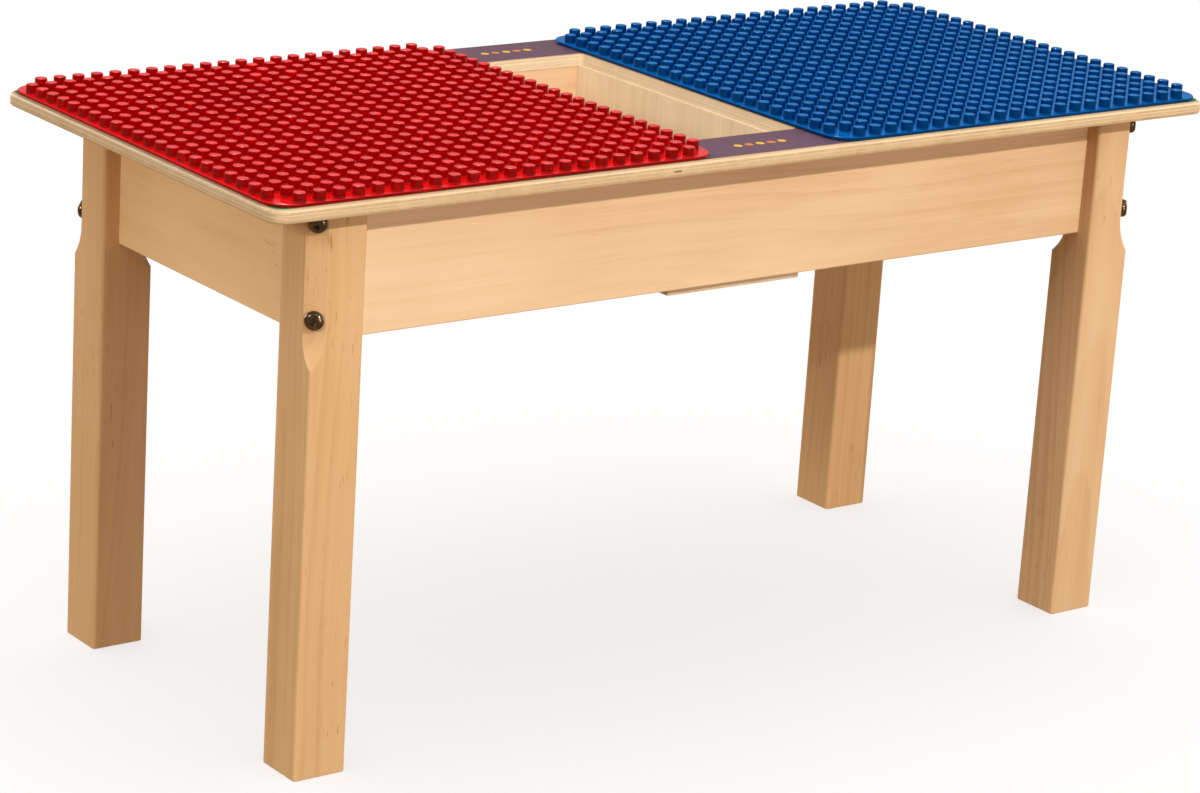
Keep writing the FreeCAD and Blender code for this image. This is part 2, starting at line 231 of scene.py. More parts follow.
# ------------------------------------------------------------------ wood
MAPLE = ((0.00, (0.290, 0.128, 0.044)), (0.30, (0.560, 0.300, 0.125)),
         (0.60, (0.730, 0.450, 0.225)), (1.00, (0.850, 0.585, 0.340)))
PLAIN = ((0.00, (0.300, 0.165, 0.075)), (0.30, (0.560, 0.345, 0.170)),
         (0.60, (0.700, 0.475, 0.265)), (1.00, (0.800, 0.595, 0.370)))


def stretch(g, axis, along, across, seed, shift=0.0):
    s = seed * 7.13 + shift
    scale = [across] * 3
    scale["XYZ".index(axis)] = along
    return g.mapped(tuple(scale), (s, s * 1.7 + 3.1, 5.3 - s * 0.61))


def timber(name, axis, pith, seed, stops=MAPLE, tint=(1.0, 1.0, 1.0), ring=6.5, rings=0.10, streaks=0.26,
           clouds=0.42, dashes=0.34, tilt=0.02, tone=0.60, rough=0.46, coat=0.05, painted_light_falloff=0.0):
    """A sawn board: grain along axis, growth rings round a pith (the two other coordinates, metres)."""
    g = Graph(name)
    x, y, z = g.xyz(g.obj)
    u, v, w = {"X": (x, y, z), "Y": (y, x, z), "Z": (z, x, y)}[axis]
    bend_a = g.swing(g.noise(stretch(g, axis, 1.9, 5.0, seed), detail=2.0), 0.040)
    bend_b = g.swing(g.noise(stretch(g, axis, 1.6, 5.0, seed, 31.0), detail=2.0), 0.040)
    dv = g.add(g.sub(v, pith[0]), bend_a)
    dw = g.add(g.sub(w, pith[1]), bend_b)
    r = g.math("SQRT", g.add(g.mul(dv, dv), g.mul(dw, dw)))
    r = g.mad(u, tilt, r)
    wander = g.swing(g.noise(stretch(g, axis, 11.0, 48.0, seed, 12.0), detail=2.0), 0.0030)
    phase = g.mul(g.add(r, wander), 1.0 / (ring * MM))
    uneven = g.swing(g.noise(g.vec(g.mul(r, 60.0), seed * 1.0, 0.0), detail=1.0), 3.0)
    phase = g.add(phase, uneven)
    part = g.math("FRACT", phase)
    late = g.mul(g.span(part, 0.10, 0.90), g.span(part, 0.90, 1.0, 1.0, 0.0))
    strength = g.mad(g.white(g.add(g.math("FLOOR", phase), seed * 3.7)), 0.85, 0.15)
    late = g.mul(late, strength)
    fibre = g.noise(stretch(g, axis, 14.0, 1150.0, seed), detail=3.0, rough=0.6)
    streak = g.noise(stretch(g, axis, 1.5, 70.0, seed, 3.0), detail=4.0, rough=0.62)
    fine = g.noise(stretch(g, axis, 5.0, 330.0, seed, 9.0), detail=3.0, rough=0.6)
    cloud = g.noise(stretch(g, axis, 4.5, 15.0, seed, 21.0), detail=3.0, rough=0.55)
    # short dark dashes, gathered in loose patches
    patch = g.span(g.noise(stretch(g, axis, 5.0, 22.0, seed, 27.0), detail=1.0), 0.44, 0.66)
    dash = g.span(g.noise(stretch(g, axis, 62.0, 560.0, seed, 5.0), detail=1.0), 0.655, 0.76)
    dash = g.mul(dash, patch)
    # a pin knot here and there
    pin = g.span(g.cells(stretch(g, axis, 8.5, 11.5, seed, 33.0)), 0.018, 0.050, 1.0, 0.0)
    t = g.total(g.mul(late, -rings), g.swing(fibre, 0.17), g.swing(fine, 0.15), g.swing(streak, streaks),
                g.swing(cloud, clouds), g.mul(dash, -dashes), g.mul(pin, -0.20))
    # painted light: the board is painted paler towards one end and darker towards the other, standing in for a lamp's
    # falloff along it
    t = g.add(t, g.mad(u, painted_light_falloff, tone + 0.4 * rings))
    colour = g.ramp(t, tuple((p, tuple(a * b for a, b in zip(c, tint))) for p, c in stops))
    rgh = g.add(g.swing(fibre, 0.20), g.mad(late, 0.04, rough))
    height = g.total(g.mul(fibre, 0.7), g.mul(fine, 0.5), g.mul(dash, -0.9), g.mul(late, 0.25))
    return g.finish(colour=colour, roughness=rgh, normal=g.bump(height, 0.14, 0.00020),
                    coat=coat, coat_roughness=0.28, spec=0.28)


def plywood(name, node, thick, plies, face, seed, tone=0.60, tint=(1.0, 1.0, 1.0), figure=1.0, lift=0.0):
    """Birch plywood: thick is the axis through the sheet; face is the outer plies' grain."""
    lo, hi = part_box(node)
    low = lo["XYZ".index(thick)]
    size = hi["XYZ".index(thick)] - low
    g = Graph(name)
    cross = [a for a in "XYZ" if a not in (thick, face)][0]
    c = dict(zip("XYZ", g.xyz(g.obj)))
    n = dict(zip("XYZ", g.xyz(g.nrm)))
    wobble = g.swing(g.noise(g.mapped((9.0, 9.0, 9.0), (seed, 2.0, seed * 0.4)), detail=2.0), 0.55)
    lay = g.mad(g.sub(c[thick], low), plies / size, wobble)
    lay = g.math("MINIMUM", g.math("MAXIMUM", lay, 0.03), plies - 0.03)
    k = g.math("FLOOR", lay)
    f = g.math("FRACT", lay)
    odd = g.math("MODULO", k, 2.0)
    end = g.blend(odd, g.math("ABSOLUTE", n[face]), g.math("ABSOLUTE", n[cross]))
    end = g.mul(end, end)
    flat = g.span(g.math("ABSOLUTE", n[thick]), 0.90, 0.985)
    own = g.white(g.add(k, seed * 1.9))

    def pick(along, across, shift, **kw):
        a = g.noise(stretch(g, face, along, across, seed, shift), **kw)
        b = g.noise(stretch(g, cross, along, across, seed, shift + 40.0), **kw)
        return g.blend(odd, a, b)

    fibre = pick(16.0, 1000.0, 0.0, detail=3.0, rough=0.6)
    streak = pick(2.2, 70.0, 4.0, detail=3.0, rough=0.6)
    fine = pick(6.0, 330.0, 8.0, detail=2.0)
    cloud = g.noise(g.mapped((14.0, 14.0, 14.0), (seed, 0.0, 1.0)), detail=2.0)
    # curly figure of the peeled face veneer
    leaf = g.noise(stretch(g, face, 2.6, 19.0, seed, 11.0), detail=3.0, rough=0.55, warp=0.35)
    leaf = g.math("PINGPONG", g.mul(leaf, 9.0), 1.0)
    glue = g.mul(g.span(g.math("MINIMUM", f, g.sub(1.0, f)), 0.0, 0.085, 1.0, 0.0), g.sub(1.0, flat))
    glue = g.mul(glue, g.span(g.noise(g.mapped((60.0, 60.0, 60.0)), detail=2.0), 0.36, 0.60, 0.35, 1.0))
    inner = g.mul(g.span(lay, 1.0, 1.25), g.span(lay, plies - 1.25, plies - 1.0, 1.0, 0.0))
    void = g.mul(g.span(pick(24.0, 52.0, 15.0, detail=1.0), 0.700, 0.735), g.mul(inner, g.span(end, 0.25, 0.6)))
    void = g.mul(void, g.span(g.math("ABSOLUTE", g.sub(k, float(plies // 2))), 0.4, 0.6, 1.0, 0.0))
    t = g.total(g.swing(fibre, 0.34 * figure), g.swing(fine, 0.26 * figure), g.swing(streak, 0.40 * figure), g.swing(cloud, 0.18),
                g.swing(own, 0.11), g.mul(g.mul(leaf, flat), -0.075), g.mul(end, -0.15), g.mul(glue, -0.22))
    t = g.add(t, tone)
    if lift:
        # the cut-out's edges, made paler than the outside edges
        inside = g.mul(g.span(g.math("ABSOLUTE", c["X"]), 0.0580, 0.0582, 1.0, 0.0),
                       g.span(g.math("ABSOLUTE", c["Y"]), 0.1406, 0.1408, 1.0, 0.0))
        t = g.mad(inside, lift, t)
    colour = g.ramp(t, tuple((p, tuple(a * b for a, b in zip(c, tint))) for p, c in (
        (0.00, (0.205, 0.112, 0.050)), (0.30, (0.480, 0.315, 0.165)),
        (0.62, (0.690, 0.520, 0.325)), (1.00, (0.810, 0.680, 0.490)))))
    colour = g.mix(void, colour, (0.190, 0.110, 0.055))
    rgh = g.total(g.swing(fibre, 0.20), g.mul(end, 0.12), 0.40)
    height = g.total(g.mul(fibre, 0.6), g.mul(fine, 0.4), g.mul(glue, -0.5), g.mul(void, -2.5))
    return g.finish(colour=colour, roughness=rgh, normal=g.bump(height, 0.20, 0.00025),
                    coat=0.12, coat_roughness=0.26, spec=0.40)


# ------------------------------------------------------------------ printed sheet
def printed(name):
    """Printed face of the top: plum between the plates, green under them, and a small row of plain dots on each strip."""
    g = Graph(name)
    x, y, z = g.xyz(g.obj)
    ax, ay = g.math("ABSOLUTE", x), g.math("ABSOLUTE", y)
    mott = g.noise(g.mapped((160.0, 160.0, 160.0)), detail=4.0, rough=0.6)
    soft = g.noise(g.mapped((18.0, 18.0, 18.0), (4.0, 0.0, 0.0)), detail=2.0)
    plum = g.ramp(g.add(g.swing(mott, 0.5), g.mad(soft, 0.4, 0.30)),
                  ((0.0, (0.097, 0.042, 0.065)), (0.5, (0.120, 0.054, 0.082)), (1.0, (0.145, 0.069, 0.101))))
    green = g.ramp(g.add(g.swing(mott, 0.5), g.mad(soft, 0.4, 0.30)),
                   ((0.0, (0.000, 0.120, 0.035)), (0.5, (0.002, 0.185, 0.060)), (1.0, (0.010, 0.260, 0.095))))
    colour = g.mix(g.span(ax, 0.0700, 0.0702), plum, green)
    # five plain discs, 7 mm across, along each strip
    cell = g.sub(g.math("FRACT", g.mad(x, 1.0 / 0.0105, 0.5)), 0.5)
    dx, dy = g.mul(cell, 0.0105), g.sub(ay, 0.1665)
    d = g.math("SQRT", g.add(g.mul(dx, dx), g.mul(dy, dy)))
    disc = g.mul(g.span(d, 0.0034, 0.0036, 1.0, 0.0), g.span(ax, 0.0262, 0.0263, 1.0, 0.0))
    odd = g.math("FLOORED_MODULO", g.math("FLOOR", g.mad(x, 1.0 / 0.0105, 0.5)), 2.0)
    paint = g.mix(odd, (0.780, 0.420, 0.040), (0.640, 0.190, 0.045))
    colour = g.mix(disc, colour, paint)
    # the cut sides show the sheet's brown core
    nz = g.xyz(g.nrm)[2]
    core = g.ramp(mott, ((0.0, (0.430, 0.290, 0.160)), (1.0, (0.580, 0.420, 0.260))))
    bare = g.math("MAXIMUM", g.span(ay, 0.1912, 0.1914), g.span(ax, 0.4404, 0.4406))
    colour = g.mix(bare, colour, core)
    colour = g.mix(g.span(nz, 0.40, 0.80), core, colour)
    scuff = g.span(g.noise(g.mapped((420.0, 60.0, 60.0), rot=(0.0, 0.0, 0.5)), detail=2.0), 0.58, 0.72)
    rgh = g.total(g.swing(mott, 0.16), g.mul(scuff, 0.06), 0.34)
    return g.finish(colour=colour, roughness=rgh, normal=g.bump(mott, 0.06, 0.0001), spec=0.5)


# ------------------------------------------------------------------ moulded plastic
def plastic(name, deep, base, pale, seed, spec, shine):
    g = Graph(name)
    slow = g.noise(g.mapped((11.0, 11.0, 11.0), (seed, 0.0, 0.0)), detail=2.0)
    mid = g.noise(g.mapped((140.0, 140.0, 140.0), (0.0, seed, 0.0)), detail=3.0, rough=0.6)
    t = g.total(g.swing(slow, 0.7), g.swing(mid, 0.5), 0.5)
    colour = g.ramp(t, ((0.0, deep), (0.5, base), (1.0, pale)))
    peel = g.noise(g.mapped((620.0, 620.0, 620.0), (0.0, 0.0, seed)), detail=2.0)
    rub = g.span(g.noise(g.mapped((900.0, 120.0, 120.0), (seed, 1.0, 0.0), rot=(0.0, 0.0, 0.7)), detail=2.0), 0.55, 0.75)
    rgh = g.total(g.swing(mid, 0.08), g.mul(rub, 0.08), 0.14)
    height = g.total(peel, g.mul(mid, 0.8), g.mul(rub, -0.25))
    return g.finish(colour=colour, roughness=rgh, normal=g.bump(height, 0.05, 0.00015), spec=spec, tint=shine,
                    sss=0.04, sss_radius=(1.0, 0.35, 0.25), sss_scale=0.0012)


# ------------------------------------------------------------------ metal
def bronze(name):
    g = Graph(name)
    worn = g.noise(g.mapped((260.0, 260.0, 260.0)), detail=4.0, rough=0.65)
    grit = g.noise(g.mapped((1700.0, 1700.0, 1700.0)), detail=2.0)
    t = g.total(g.swing(worn, 1.1), g.swing(grit, 0.3), 0.42)
    colour = g.ramp(t, ((0.0, (0.024, 0.017, 0.011)), (0.45, (0.125, 0.084, 0.046)),
                        (0.75, (0.340, 0.230, 0.120)), (1.0, (0.560, 0.400, 0.220))))
    rgh = g.total(g.swing(worn, 0.16), g.swing(grit, 0.08), 0.20)
    return g.finish(colour=colour, roughness=rgh, metallic=0.85, normal=g.bump(grit, 0.10, 0.00005))


def zinc(name):
    g = Graph(name)
    bloom = g.noise(g.mapped((180.0, 180.0, 180.0)), detail=3.0, rough=0.6)
    grit = g.noise(g.mapped((2100.0, 2100.0, 2100.0)), detail=2.0)
    t = g.total(g.swing(bloom, 0.9), g.swing(grit, 0.3), 0.5)
    colour = g.ramp(t, ((0.0, (0.30, 0.30, 0.28)), (0.5, (0.52, 0.52, 0.50)), (1.0, (0.66, 0.66, 0.63))))
    rgh = g.total(g.swing(bloom, 0.25), g.swing(grit, 0.12), 0.38)
    return g.finish(colour=colour, roughness=rgh, metallic=1.0, normal=g.bump(grit, 0.12, 0.00006))


# ------------------------------------------------------------------ materials on the CAD nodes
def dress(node, mat):
    me = NODES[node].data
    me.materials.clear()
    me.materials.append(mat)


# apron tints are partly the maple's own tone and partly painted light: the front aprons and the end aprons get
# different tints matched to how their faces are lit
for i, (node, sy) in enumerate((("front_apron", -1), ("back_apron", 1))):
    dress(node, timber("maple_" + node, "X", (sy * (0.1556 - 0.085), 0.3275 - 0.012 + 0.05 * i), 1.0 + 5.0 * i,
                       tint=(0.98, 1.06, 1.21), tilt=0.026 - 0.05 * i, rings=0.07, streaks=0.17, clouds=0.46,
                       # painted light falloff on the front apron: paler at its left end, darker at its right
                       dashes=0.10, painted_light_falloff=-0.28 + 0.28 * i))
for i, (node, sx) in enumerate((("left_apron", -1), ("right_apron", 1))):
    dress(node, timber("maple_" + node, "Y", (sx * (0.380 - 0.10), 0.3275 + 0.03 + 0.07 * i), 3.0 + 5.0 * i,
                       tint=(1.04, 1.08, 1.05), tilt=0.020, rings=0.08, streaks=0.18))
# pith from the leg's axis, seed, tilt and strength of the rings; the front right leg is flat sawn, with arches on its front
LEG_PITH = {"front_left": (0.060, 0.070, 11.0, 0.012, 0.09), "front_right": (-0.004, 0.046, 14.0, 0.045, 0.17),
            "back_left": (0.050, -0.090, 17.0, 0.012, 0.09), "back_right": (-0.070, -0.060, 20.0, 0.012, 0.09)}
# tint per leg: partly the boards' own tone, partly painted light and shade, each leg made paler or darker to match how
# it is lit; the back left leg is darkest, as painted shade
LEG_TONE_AND_PAINTED_LIGHT = {"front_left": (0.83, 0.81, 0.75), "front_right": (0.835, 0.845, 0.85),
            "back_left": (0.81, 0.78, 0.71), "back_right": (0.89, 0.86, 0.79)}
for corner, (px, py, seed, lean, late) in LEG_PITH.items():
    sx = -1 if corner.endswith("left") else 1
    sy = -1 if corner.startswith("front") else 1
    dress("leg_" + corner, timber("maple_leg_" + corner, "Z", (sx * 0.3725 + px, sy * 0.148 + py), seed,
                                  tint=LEG_TONE_AND_PAINTED_LIGHT[corner], tilt=lean, rings=late, streaks=0.34))
for i, corner in enumerate(LEG_PITH):
    dress("corner_block_" + corner, timber("timber_block_" + corner, "Z", (0.30, 0.05), 30.0 + i, stops=PLAIN,
                                           rings=0.22, streaks=0.40, coat=0.02, rough=0.56))
for i, node in enumerate(("top_cleat_front_left", "top_cleat_front_right", "top_cleat_back_left", "top_cleat_back_right")):
    dress(node, timber("timber_" + node, "X", (0.02, 0.40), 40.0 + i, stops=PLAIN, rings=0.22, streaks=0.40, coat=0.02, rough=0.56))
for i, node in enumerate(("top_cleat_left", "top_cleat_right")):
    dress(node, timber("timber_" + node, "Y", (0.02, 0.40), 46.0 + i, stops=PLAIN, rings=0.22, streaks=0.40, coat=0.02, rough=0.56))
dress("well_corner_strips", timber("timber_strips", "Z", (0.03, 0.03), 49.0, stops=PLAIN, rings=0.22, streaks=0.40, coat=0.02, rough=0.56))

dress("tabletop", plywood("birch_top", "tabletop", "Z", 7, "X", 2.0, tone=0.56, tint=(0.94, 0.92, 0.88), lift=0.34))
# the well walls' pale tint is partly the birch's own tone and partly painted light, standing in for light falling into
# the well from above
dress("well_left_wall", plywood("birch_well_left", "well_left_wall", "X", 5, "Z", 5.0, tone=0.66, tint=(1.12, 1.19, 1.26), figure=0.6))
dress("well_right_wall", plywood("birch_well_right", "well_right_wall", "X", 5, "Z", 7.0, tone=0.66, tint=(1.12, 1.19, 1.26), figure=0.6))
dress("well_bottom", plywood("birch_well_bottom", "well_bottom", "Z", 3, "Y", 9.0, tone=0.64))
dress("printed_sheet", printed("printed_face"))
zinc_mat = zinc("zinc_plate")
for node in ("leg_bolt_washers", "leg_bolt_nuts", "corner_block_screws", "top_screws", "cleat_screws",
             "well_bottom_nails", "well_strip_screws"):
    dress(node, zinc_mat)
bronze_mat = bronze("antique_bronze")
red_mat = plastic("red_moulding", (0.390, 0.0005, 0.0006), (0.445, 0.0009, 0.0011), (0.500, 0.0020, 0.0024), 2.0, 0.22,
                  (1.0, 0.80, 0.80))
blue_mat = plastic("blue_moulding", (0.0003, 0.049, 0.186), (0.0005, 0.061, 0.222), (0.0010, 0.075, 0.262), 5.0, 0.09,
                   (0.22, 0.66, 1.0))


# ------------------------------------------------------------------ mesh helpers
def mesh_object(name, verts, faces, mat, sharp_angle=None):
    me = bpy.data.meshes.new(name)
    me.from_pydata([tuple(v) for v in verts], [], [tuple(int(i) for i in f) for f in faces])
    me.validate()
    me.materials.append(mat)
    me.shade_smooth()
    ob = bpy.data.objects.new(name, me)
    scene.collection.objects.link(ob)
    return ob


# ------------------------------------------------------------------ baseplates
PITCH, COUNT = 16.0 * MM, 24
HALF, CORNER = 192.0 * MM, 21.0 * MM
Z0, Z1 = 438.4 * MM, 440.8 * MM
STUD_R, STUD_H = 4.7 * MM, 6.4 * MM
POCKET_R, POCKET_H = 3.2 * MM, 5.0 * MM
SEG = 24
# stud outline from its foot on the sheet to the middle of its crown: radius, height
STUD = [(5.35, 0.00), (4.98, 0.10), (4.76, 0.36), (4.70, 0.75), (4.66, 5.40), (4.60, 5.84), (4.44, 6.14),
        (4.18, 6.31), (3.80, 6.37), (1.90, 6.40)]
# rim of the sheet from its upper face round to its underside: inset, height above the underside
RIM = [(1.00, 2.40), (0.45, 2.28), (0.12, 1.95), (0.00, 1.50), (0.00, 0.55), (0.16, 0.16), (0.55, 0.00)]


def baseplate(name, cx, mat, seed):
    ang = np.arange(SEG) * 2 * math.pi / SEG
    ca, sa = np.cos(ang), np.sin(ang)
    big = np.maximum(np.abs(ca), np.abs(sa))
    square = np.stack([ca / big, sa / big], 1) * PITCH / 2
    rng = np.random.default_rng(seed)
    wave = rng.uniform(0, 2 * math.pi, 6)
    verts, faces, index = [], [], {}

    def lift(x, y):
        # the sheet isn't dead flat: a fraction of a millimetre of slow wave
        return (0.16 * math.sin(14.0 * x + wave[0]) * math.sin(11.0 * y + wave[1])
                + 0.07 * math.sin(37.0 * x + 21.0 * y + wave[2])) * MM

    def add(x, y, z):
        verts.append((cx + x, y, z + lift(x, y)))
        return len(verts) - 1

    def shared(x, y, z):
        key = (round(x * 1e6), round(y * 1e6), round(z * 1e6))
        if key not in index:
            index[key] = add(x, y, z)
        return index[key]

    def outline(x, y, inset):
        """A point on the square outline, moved to the rounded one, inset mm inside."""
        k = HALF - CORNER
        px, py = abs(x), abs(y)
        if px > k + 1e-9 and py > k + 1e-9:
            d = math.hypot(px - k, py - k)
            f = (CORNER - inset * MM) / d
            px, py = k + (px - k) * f, k + (py - k) * f
        else:
            if px > HALF - 1e-9:
                px = HALF - inset * MM
            if py > HALF - 1e-9:
                py = HALF - inset * MM
        return math.copysign(px, x), math.copysign(py, y)

    def on_edge(x, y):
        return max(abs(x), abs(y)) > HALF - 1e-9

    def edge_point(x, y, z, inset):
        if on_edge(x, y):
            x, y = outline(x, y, inset)
        return shared(x, y, z)

    for i in range(COUNT):
        for j in range(COUNT):
            ox, oy = -HALF + PITCH * (i + 0.5), -HALF + PITCH * (j + 0.5)
            bare = i in (0, COUNT - 1) and j in (0, COUNT - 1)
            for side in (1, -1):
                z = Z1 if side > 0 else Z0
                inset = RIM[0][0] if side > 0 else RIM[-1][0]
                ring = [edge_point(ox + q[0], oy + q[1], z, inset) for q in square]
                rings = [ring]
                if bare:
                    mid = (ox - math.copysign(2.4 * MM, ox), oy - math.copysign(2.4 * MM, oy))
                    rings.append([add(mid[0] + 2.2 * MM * c, mid[1] + 2.2 * MM * s, z) for c, s in zip(ca, sa)])
                    centre = add(mid[0], mid[1], z)
                elif side > 0:
                    for r, h in STUD:
                        rings.append([add(ox + r * MM * c, oy + r * MM * s, z + h * MM) for c, s in zip(ca, sa)])
                    centre = add(ox, oy, z + STUD_H)
                else:
                    for r, h in ((POCKET_R + 0.25 * MM, 0.0), (POCKET_R, 0.25 * MM), (POCKET_R, POCKET_H - 0.4 * MM),
                                 (POCKET_R - 0.4 * MM, POCKET_H)):
                        rings.append([add(ox + r * c, oy + r * s, z + h) for c, s in zip(ca, sa)])
                    centre = add(ox, oy, z + POCKET_H)
                for a, b in zip(rings, rings[1:]):
                    for k in range(SEG):
                        n = (k + 1) % SEG
                        q = (a[k], a[n], b[n], b[k])
                        faces.append(q if side > 0 else q[::-1])
                for k in range(SEG):
                    n = (k + 1) % SEG
                    q = (rings[-1][k], rings[-1][n], centre)
                    faces.append(q if side > 0 else q[::-1])
    # rim: the same edge points, carried round from the upper face to the underside
    loop = []
    steps = sorted({round(float(v), 9) for v in np.concatenate([
        (-HALF + PITCH * (i + 0.5)) + square[np.abs(square[:, 0]) > PITCH / 2 - 1e-9][:, 1] for i in range(COUNT)])})
    for x in steps[:-1]:
        loop.append((x, -HALF))
    for y in steps[:-1]:
        loop.append((HALF, y))
    for x in steps[::-1][:-1]:
        loop.append((x, HALF))
    for y in steps[::-1][:-1]:
        loop.append((-HALF, y))
    rows = []
    for inset, h in RIM:
        rows.append([edge_point(x, y, Z0 + h * MM, inset) for x, y in loop])
    m = len(loop)
    for a, b in zip(rows, rows[1:]):
        for k in range(m):
            n = (k + 1) % m
            faces.append((a[n], a[k], b[k], b[n]))
    ob = mesh_object(name, verts, faces, mat)
    wn = ob.modifiers.new("even_normals", "WEIGHTED_NORMAL")
    wn.weight = 60
    return ob


for name, node, body, cx, mat, slot, seed in (
        ("red_stud_plate", "red_baseplate", "red_plate", -0.2495, red_mat, "red_plastic", 11),
        ("blue_stud_plate", "blue_baseplate", "blue_plate", 0.2495, blue_mat, "blue_plastic", 23)):
    ob = baseplate(name, cx, mat, seed)
    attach(ob, body)
    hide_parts(node)


# ------------------------------------------------------------------ leg bolts
def bolts():
    seg, verts, faces = 48, [], []
    ang = np.arange(seg) * 2 * math.pi / seg
    head_h, socket, socket_d = 4.4, 5.0, 2.6
    profile = [(4.0, 0.0), (6.8, 0.0), (7.15, 0.10), (7.20, 0.35), (7.20, 0.80)]
    # crowned head: an ellipse from the rim to the flat round the socket
    for k in range(1, 9):
        a = k / 8 * math.radians(72)
        profile.append((3.35 + (7.20 - 3.35) * math.cos(a), 0.80 + (head_h - 0.80) * math.sin(a) / math.sin(math.radians(72))))
    profile.append((3.55, head_h + 0.02))
    profile.append((3.25, head_h - 0.04))
    shank = []
    z = -81.0
    while z < -57.0:
        shank += [(3.42, z), (3.98, z + 0.42), (3.98, z + 0.58), (3.42, z + 1.0)]
        z += 1.25
    shank += [(4.0, -55.6), (4.0, -0.4)]
    rot = np.random.default_rng(4).uniform(0, math.pi / 3, 8)
    k = 0
    for sx in (-1, 1):
        for sy in (-1, 1):
            for zb in (346.5, 417.0):
                out = Vector((sx, sy, 0)).normalized()
                ex = Vector((0, 0, 1)).cross(out)
                seat = Vector((sx * 388.75, sy * 164.25, zb))
                turn = rot[k]
                k += 1

                def at(r, h, a):
                    p = seat + out * h + ex * (r * math.cos(a + turn)) + Vector((0, 0, 1)) * (r * math.sin(a + turn))
                    verts.append(p * MM)
                    return len(verts) - 1

                rings = [[at(0.6, -82.0, a) for a in ang], [at(2.9, -82.0, a) for a in ang]]
                rings += [[at(r, h, a) for a in ang] for r, h in shank]
                rings += [[at(r, h, a) for a in ang] for r, h in profile]
                hexr = [socket / 2 / math.cos((a + math.pi / 6) % (math.pi / 3) - math.pi / 6) for a in ang]
                for grow, h in ((0.10, head_h - 0.16), (0.0, head_h - 0.45), (0.0, head_h - socket_d)):
                    rings.append([at(r + grow, h, a) for r, a in zip(hexr, ang)])
                rings.append([at(r * 0.5, head_h - socket_d - 0.35, a) for r, a in zip(hexr, ang)])
                for a, b in zip(rings, rings[1:]):
                    for q in range(seg):
                        n = (q + 1) % seg
                        faces.append((a[q], a[n], b[n], b[q]))
                tip = at(0.0, -82.0, 0.0)
                pit = at(0.0, head_h - socket_d - 0.6, 0.0)
                for q in range(seg):
                    n = (q + 1) % seg
                    faces.append((rings[0][n], rings[0][q], tip))
                    faces.append((rings[-1][q], rings[-1][n], pit))
    ob = mesh_object("bronze_leg_bolts", verts, faces, bronze_mat)
    ob.data.set_sharp_from_angle(angle=math.radians(38))
    return ob


ob = bolts()
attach(ob, "table")
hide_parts("leg_bolts")


# ------------------------------------------------------------------ floor
def floor():
    n, size = 24, 30.0
    verts = [((i / n - 0.5) * size, (j / n - 0.5) * size, 0.0) for j in range(n + 1) for i in range(n + 1)]
    faces = [(j * (n + 1) + i, j * (n + 1) + i + 1, (j + 1) * (n + 1) + i + 1, (j + 1) * (n + 1) + i)
             for j in range(n) for i in range(n)]
    g = Graph("studio_floor")
    grain = g.noise(g.mapped((3.0, 3.0, 3.0)), detail=3.0)
    colour = g.ramp(grain, ((0.0, (0.43, 0.43, 0.43)), (1.0, (0.45, 0.45, 0.45))))
    mat = g.finish(colour=colour, roughness=0.75, spec=0.0)
    # lit from below like a light table, so that shadows on it stay faint
    g.bsdf.inputs["Emission Color"].default_value = (1.0, 1.0, 1.0, 1.0)
    g.bsdf.inputs["Emission Strength"].default_value = 0.66
    ob = mesh_object("studio_floor", verts, faces, mat)
    # its light stays off the table, which has a fill of its own
    ob.visible_diffuse = False
    ob.visible_glossy = False


floor()

# ------------------------------------------------------------------ light
# the lamps light the table and not the floor, which keeps the soft light only;
# the glossy plates have their own, from overhead
def gather(name, test):
    col = bpy.data.collections.new(name)
    for o in scene.objects:
        if o.type == "MESH" and o.name != "studio_floor" and test(o.name):
            col.objects.link(o)
    return col


PLATES = ("red_stud_plate", "blue_stud_plate")
plates_lit = gather("plates_lit", lambda n: n in PLATES)
red_lit = gather("red_lit", lambda n: n == PLATES[0])
blue_lit = gather("blue_lit", lambda n: n == PLATES[1])
wood_lit = gather("wood_lit", lambda n: n not in PLATES)
RIGHT_LEG = NODES["leg_front_right"].name
key_lit = gather("key_lit", lambda n: n not in PLATES + (RIGHT_LEG, NODES["leg_back_left"].name))
right_lit = gather("right_lit", lambda n: n == RIGHT_LEG)


def lamp(name, azimuth, elevation, energy, spread, lit, colour=(1.0, 0.985, 0.96)):
    """Far lamp: azimuth in degrees from the front, towards +X, and elevation."""
    data = bpy.data.lights.new(name, "SUN")
    data.energy, data.color = energy, colour
    data.angle = math.radians(spread)
    ob = bpy.data.objects.new(name, data)
    scene.collection.objects.link(ob)
    az, el = math.radians(azimuth), math.radians(elevation)
    toward = Vector((math.sin(az) * math.cos(el), -math.cos(az) * math.cos(el), math.sin(el)))
    ob.rotation_euler = toward.to_track_quat("Z", "Y").to_euler()
    ob.location = toward * 4.0
    ob.light_linking.receiver_collection = lit


# key: a small lamp in front of the table's middle, and a twin further right for the front right leg
for name, x, lit in (("key", 0.02, key_lit), ("key_right", 0.46, right_lit)):
    key = bpy.data.lights.new(name, "POINT")
    key.energy, key.color = 164.0, (1.0, 0.985, 0.96)
    key.shadow_soft_size = 0.035
    key_ob = bpy.data.objects.new(name, key)
    key_ob.location = (x, -2.21, 1.65)
    scene.collection.objects.link(key_ob)
    key_ob.light_linking.receiver_collection = lit
lamp("front_fill", 0.0, 6.0, 0.95, 24.0, wood_lit)
lamp("left_fill", -86.0, 22.0, 1.30, 14.0, wood_lit)
lamp("right_fill", 92.0, 10.0, 1.30, 30.0, wood_lit)
lamp("back_fill", 186.0, 10.0, 1.70, 30.0, wood_lit)
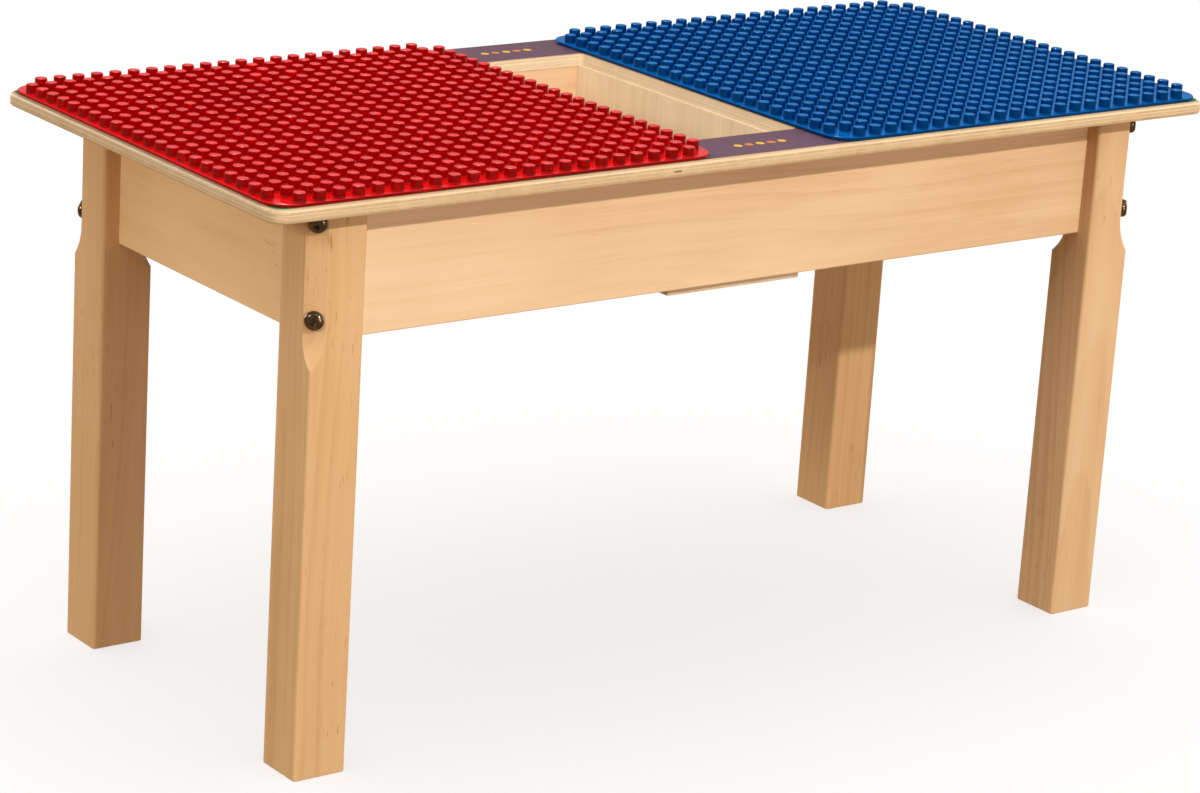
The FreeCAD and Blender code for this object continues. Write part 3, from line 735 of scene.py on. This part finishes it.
# the plates' lamp stands behind and above, so their stud tops shine and the sides stay deep
lamp("red_top", 152.0, 58.0, 4.95, 10.0, red_lit, (1.0, 1.0, 1.0))
lamp("red_sheen", 142.6, 17.3, 0.055, 30.0, red_lit, (1.0, 1.0, 1.0))
lamp("blue_top", 152.0, 58.0, 5.00, 10.0, blue_lit, (0.40, 0.96, 1.0))
lamp("blue_sheen", 142.6, 17.3, 0.07, 30.0, blue_lit, (0.20, 0.85, 1.0))
lamp("plate_glint", -16.0, 14.0, 0.95, 3.0, plates_lit, (1.0, 1.0, 1.0))

world = bpy.data.worlds.new("studio")
scene.world = world
world.use_nodes = True
wt = world.node_tree
bg = wt.nodes["Background"]
tc = wt.nodes.new("ShaderNodeTexCoord")
sep = wt.nodes.new("ShaderNodeSeparateXYZ")
span = wt.nodes.new("ShaderNodeMapRange")
cr = wt.nodes.new("ShaderNodeValToRGB")
wt.links.new(tc.outputs["Generated"], sep.inputs[0])
wt.links.new(sep.outputs[2], span.inputs["Value"])
span.inputs["From Min"].default_value = -1.0
wt.links.new(span.outputs[0], cr.inputs[0])
# soft overhead light that falls off towards the horizon, and a warm glow from below
DOME = ((-1.00, (0.44, 0.30, 0.19)), (-0.06, (0.44, 0.30, 0.19)), (0.02, (0.17, 0.16, 0.15)), (0.30, (0.18, 0.18, 0.18)),
        (0.50, (0.45, 0.45, 0.45)), (0.70, (0.80, 0.80, 0.80)), (0.85, (1.15, 1.15, 1.15)), (1.00, (1.50, 1.50, 1.50)))
ramp = cr.color_ramp
while len(ramp.elements) > 1:
    ramp.elements.remove(ramp.elements[-1])
ramp.elements[0].position = 0.0
ramp.elements[0].color = (*DOME[0][1], 1.0)
for z, c in DOME[1:]:
    ramp.elements.new((z + 1.0) / 2.0).color = (*c, 1.0)
# the dome itself shows as plain white behind the table
path = wt.nodes.new("ShaderNodeLightPath")
pick = wt.nodes.new("ShaderNodeMix")
pick.data_type = "RGBA"
wt.links.new(path.outputs["Is Camera Ray"], pick.inputs[0])
wt.links.new(cr.outputs[0], pick.inputs[6])
pick.inputs[7].default_value = (0.97, 0.97, 0.97, 1.0)
wt.links.new(pick.outputs[2], bg.inputs["Color"])
bg.inputs["Strength"].default_value = 1.0

# ------------------------------------------------------------------ camera
AZ, EL, ROLL = -0.652216093, 0.302076972, 0.0633652171
cam_data = bpy.data.cameras.new("camera")
cam_data.sensor_fit = "HORIZONTAL"
cam_data.sensor_width = 36.0
cam_data.lens = 3808.84 / 1200.0 * 36.0
cam_data.clip_start, cam_data.clip_end = 0.05, 100.0
cam = bpy.data.objects.new("camera", cam_data)
scene.collection.objects.link(cam)
back = Vector((math.sin(AZ) * math.cos(EL), -math.cos(AZ) * math.cos(EL), math.sin(EL)))
right0 = (-back).cross(Vector((0, 0, 1))).normalized()
down0 = (-back).cross(right0)
right = right0 * math.cos(ROLL) - down0 * math.sin(ROLL)
down = right0 * math.sin(ROLL) + down0 * math.cos(ROLL)
rot = Matrix((right, -down, back)).transposed()
cam.matrix_world = Matrix.Translation((-1.77682389, -2.31547305, 1.09958784)) @ rot.to_4x4()
scene.camera = cam
scene.view_settings.view_transform = "Standard"
